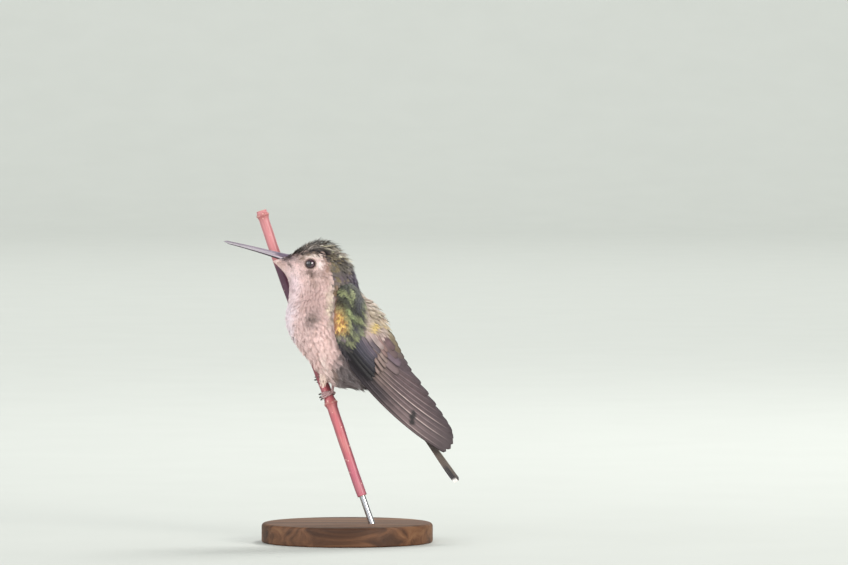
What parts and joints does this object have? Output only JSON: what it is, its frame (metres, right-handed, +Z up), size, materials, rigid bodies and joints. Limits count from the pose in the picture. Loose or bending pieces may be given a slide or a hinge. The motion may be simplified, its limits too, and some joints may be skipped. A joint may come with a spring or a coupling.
{
  "type": "hummingbird model on a display stand",
  "caption": "Life-size still model of a small hummingbird clinging to a short cut stem, held upright by a thin rod on a flat round base.",
  "frame": {"origin": "centre of the round base's flat underside, on the surface that the model stands on", "axes": "+Z up; the bird faces -X, with its left side towards -Y"},
  "size_m": [0.0606, 0.044, 0.0854],
  "materials": {
    "body_plumage": "soft overlapping feathers, pale below and green-bronze above",
    "wing_coverts": "small glossy green and bronze feathers",
    "flight_feathers": "satin dusky brown vanes with pale shafts",
    "bill_horn": "satin slate-black horn",
    "eye": "wet gloss",
    "leg_skin": "fine scaly skin",
    "claw_horn": "satin dark horn",
    "stem_bark": "smooth young red bark",
    "steel": "fine brushed",
    "walnut": "satin oiled walnut"
  },
  "bodies": {
    "root": {"head": "body_plumage", "neck": "body_plumage", "trunk": "body_plumage", "tail_coverts": "body_plumage", "wing_left_coverts": "wing_coverts", "wing_right_coverts": "wing_coverts", "wing_left_flight": "flight_feathers", "wing_right_flight": "flight_feathers", "tail": "flight_feathers", "bill_upper": "bill_horn", "bill_lower": "bill_horn", "eye_left": "eye", "eye_right": "eye", "leg_left": "leg_skin", "leg_right": "leg_skin", "claw_left_inner": "claw_horn", "claw_left_middle": "claw_horn", "claw_left_outer": "claw_horn", "claw_left_hind": "claw_horn", "claw_right_inner": "claw_horn", "claw_right_middle": "claw_horn", "claw_right_outer": "claw_horn", "claw_right_hind": "claw_horn", "perch_stem": "stem_bark", "stand_rod": "steel", "stand_base": "walnut"}
  },
  "joints": []
}
